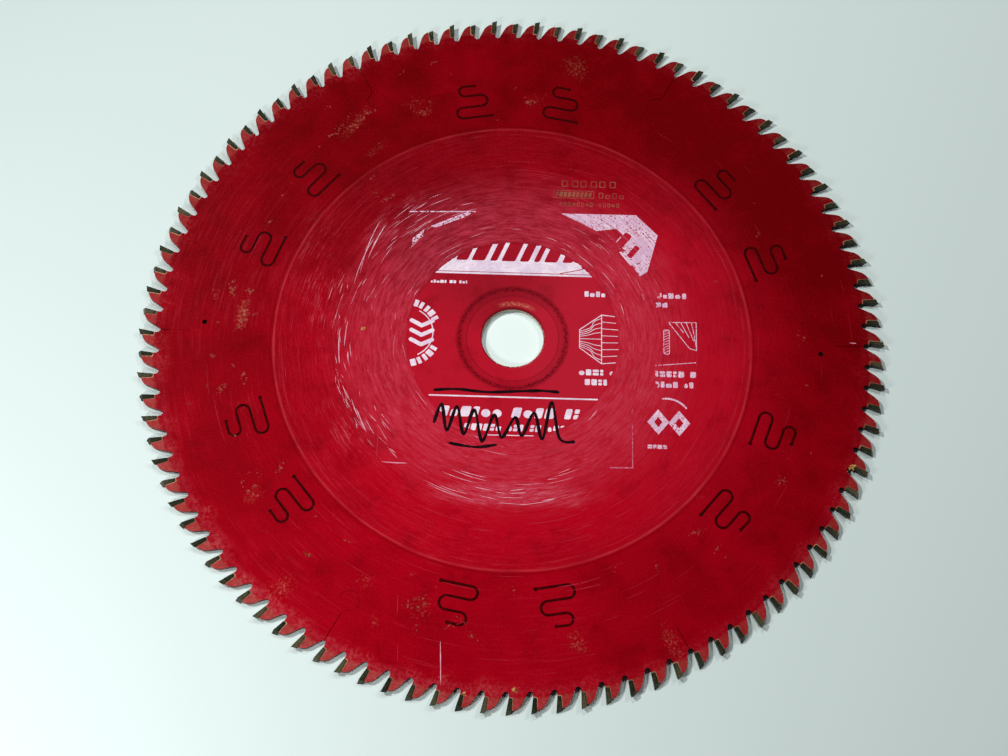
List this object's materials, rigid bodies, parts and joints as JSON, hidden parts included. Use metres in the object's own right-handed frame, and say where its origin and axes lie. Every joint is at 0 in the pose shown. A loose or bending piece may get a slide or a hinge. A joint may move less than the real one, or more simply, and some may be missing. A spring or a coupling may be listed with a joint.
{
  "type": "circular saw blade",
  "caption": "Flat circular saw blade with carbide teeth of alternating bevel, wavy vents, expansion cuts and a central arbor bore, worn red coating.",
  "frame": {"origin": "centre of the arbor bore, halfway through the plate", "axes": "+Z is the arbor axis and points up out of the printed face, the face seen in the picture; the blade lies flat and cuts clockwise seen from +Z; +Y points midway between two paired vents, away from the picture's viewer"},
  "size_m": [0.3048, 0.3048, 0.0024],
  "materials": {
    "coated_steel": "smooth satin red coating on tool steel, scuffed in circles around the arbor, with wood resin near the teeth",
    "carbide": "ground tungsten carbide, dark grey with olive resin stain",
    "braze": "dull copper and silver brazing metal"
  },
  "bodies": {
    "root": {"saw_plate": "coated_steel", "carbide_tips_1_right": "carbide", "carbide_tips_1_left": "carbide", "carbide_tips_2_right": "carbide", "carbide_tips_2_left": "carbide", "carbide_tips_3_right": "carbide", "carbide_tips_3_left": "carbide", "carbide_tips_4_right": "carbide", "carbide_tips_4_left": "carbide", "carbide_tips_5_right": "carbide", "carbide_tips_5_left": "carbide", "carbide_tips_6_right": "carbide", "carbide_tips_6_left": "carbide", "braze_joints_1_right": "braze", "braze_joints_1_left": "braze", "braze_joints_2_right": "braze", "braze_joints_2_left": "braze", "braze_joints_3_right": "braze", "braze_joints_3_left": "braze", "braze_joints_4_right": "braze", "braze_joints_4_left": "braze", "braze_joints_5_right": "braze", "braze_joints_5_left": "braze", "braze_joints_6_right": "braze", "braze_joints_6_left": "braze"}
  },
  "joints": []
}
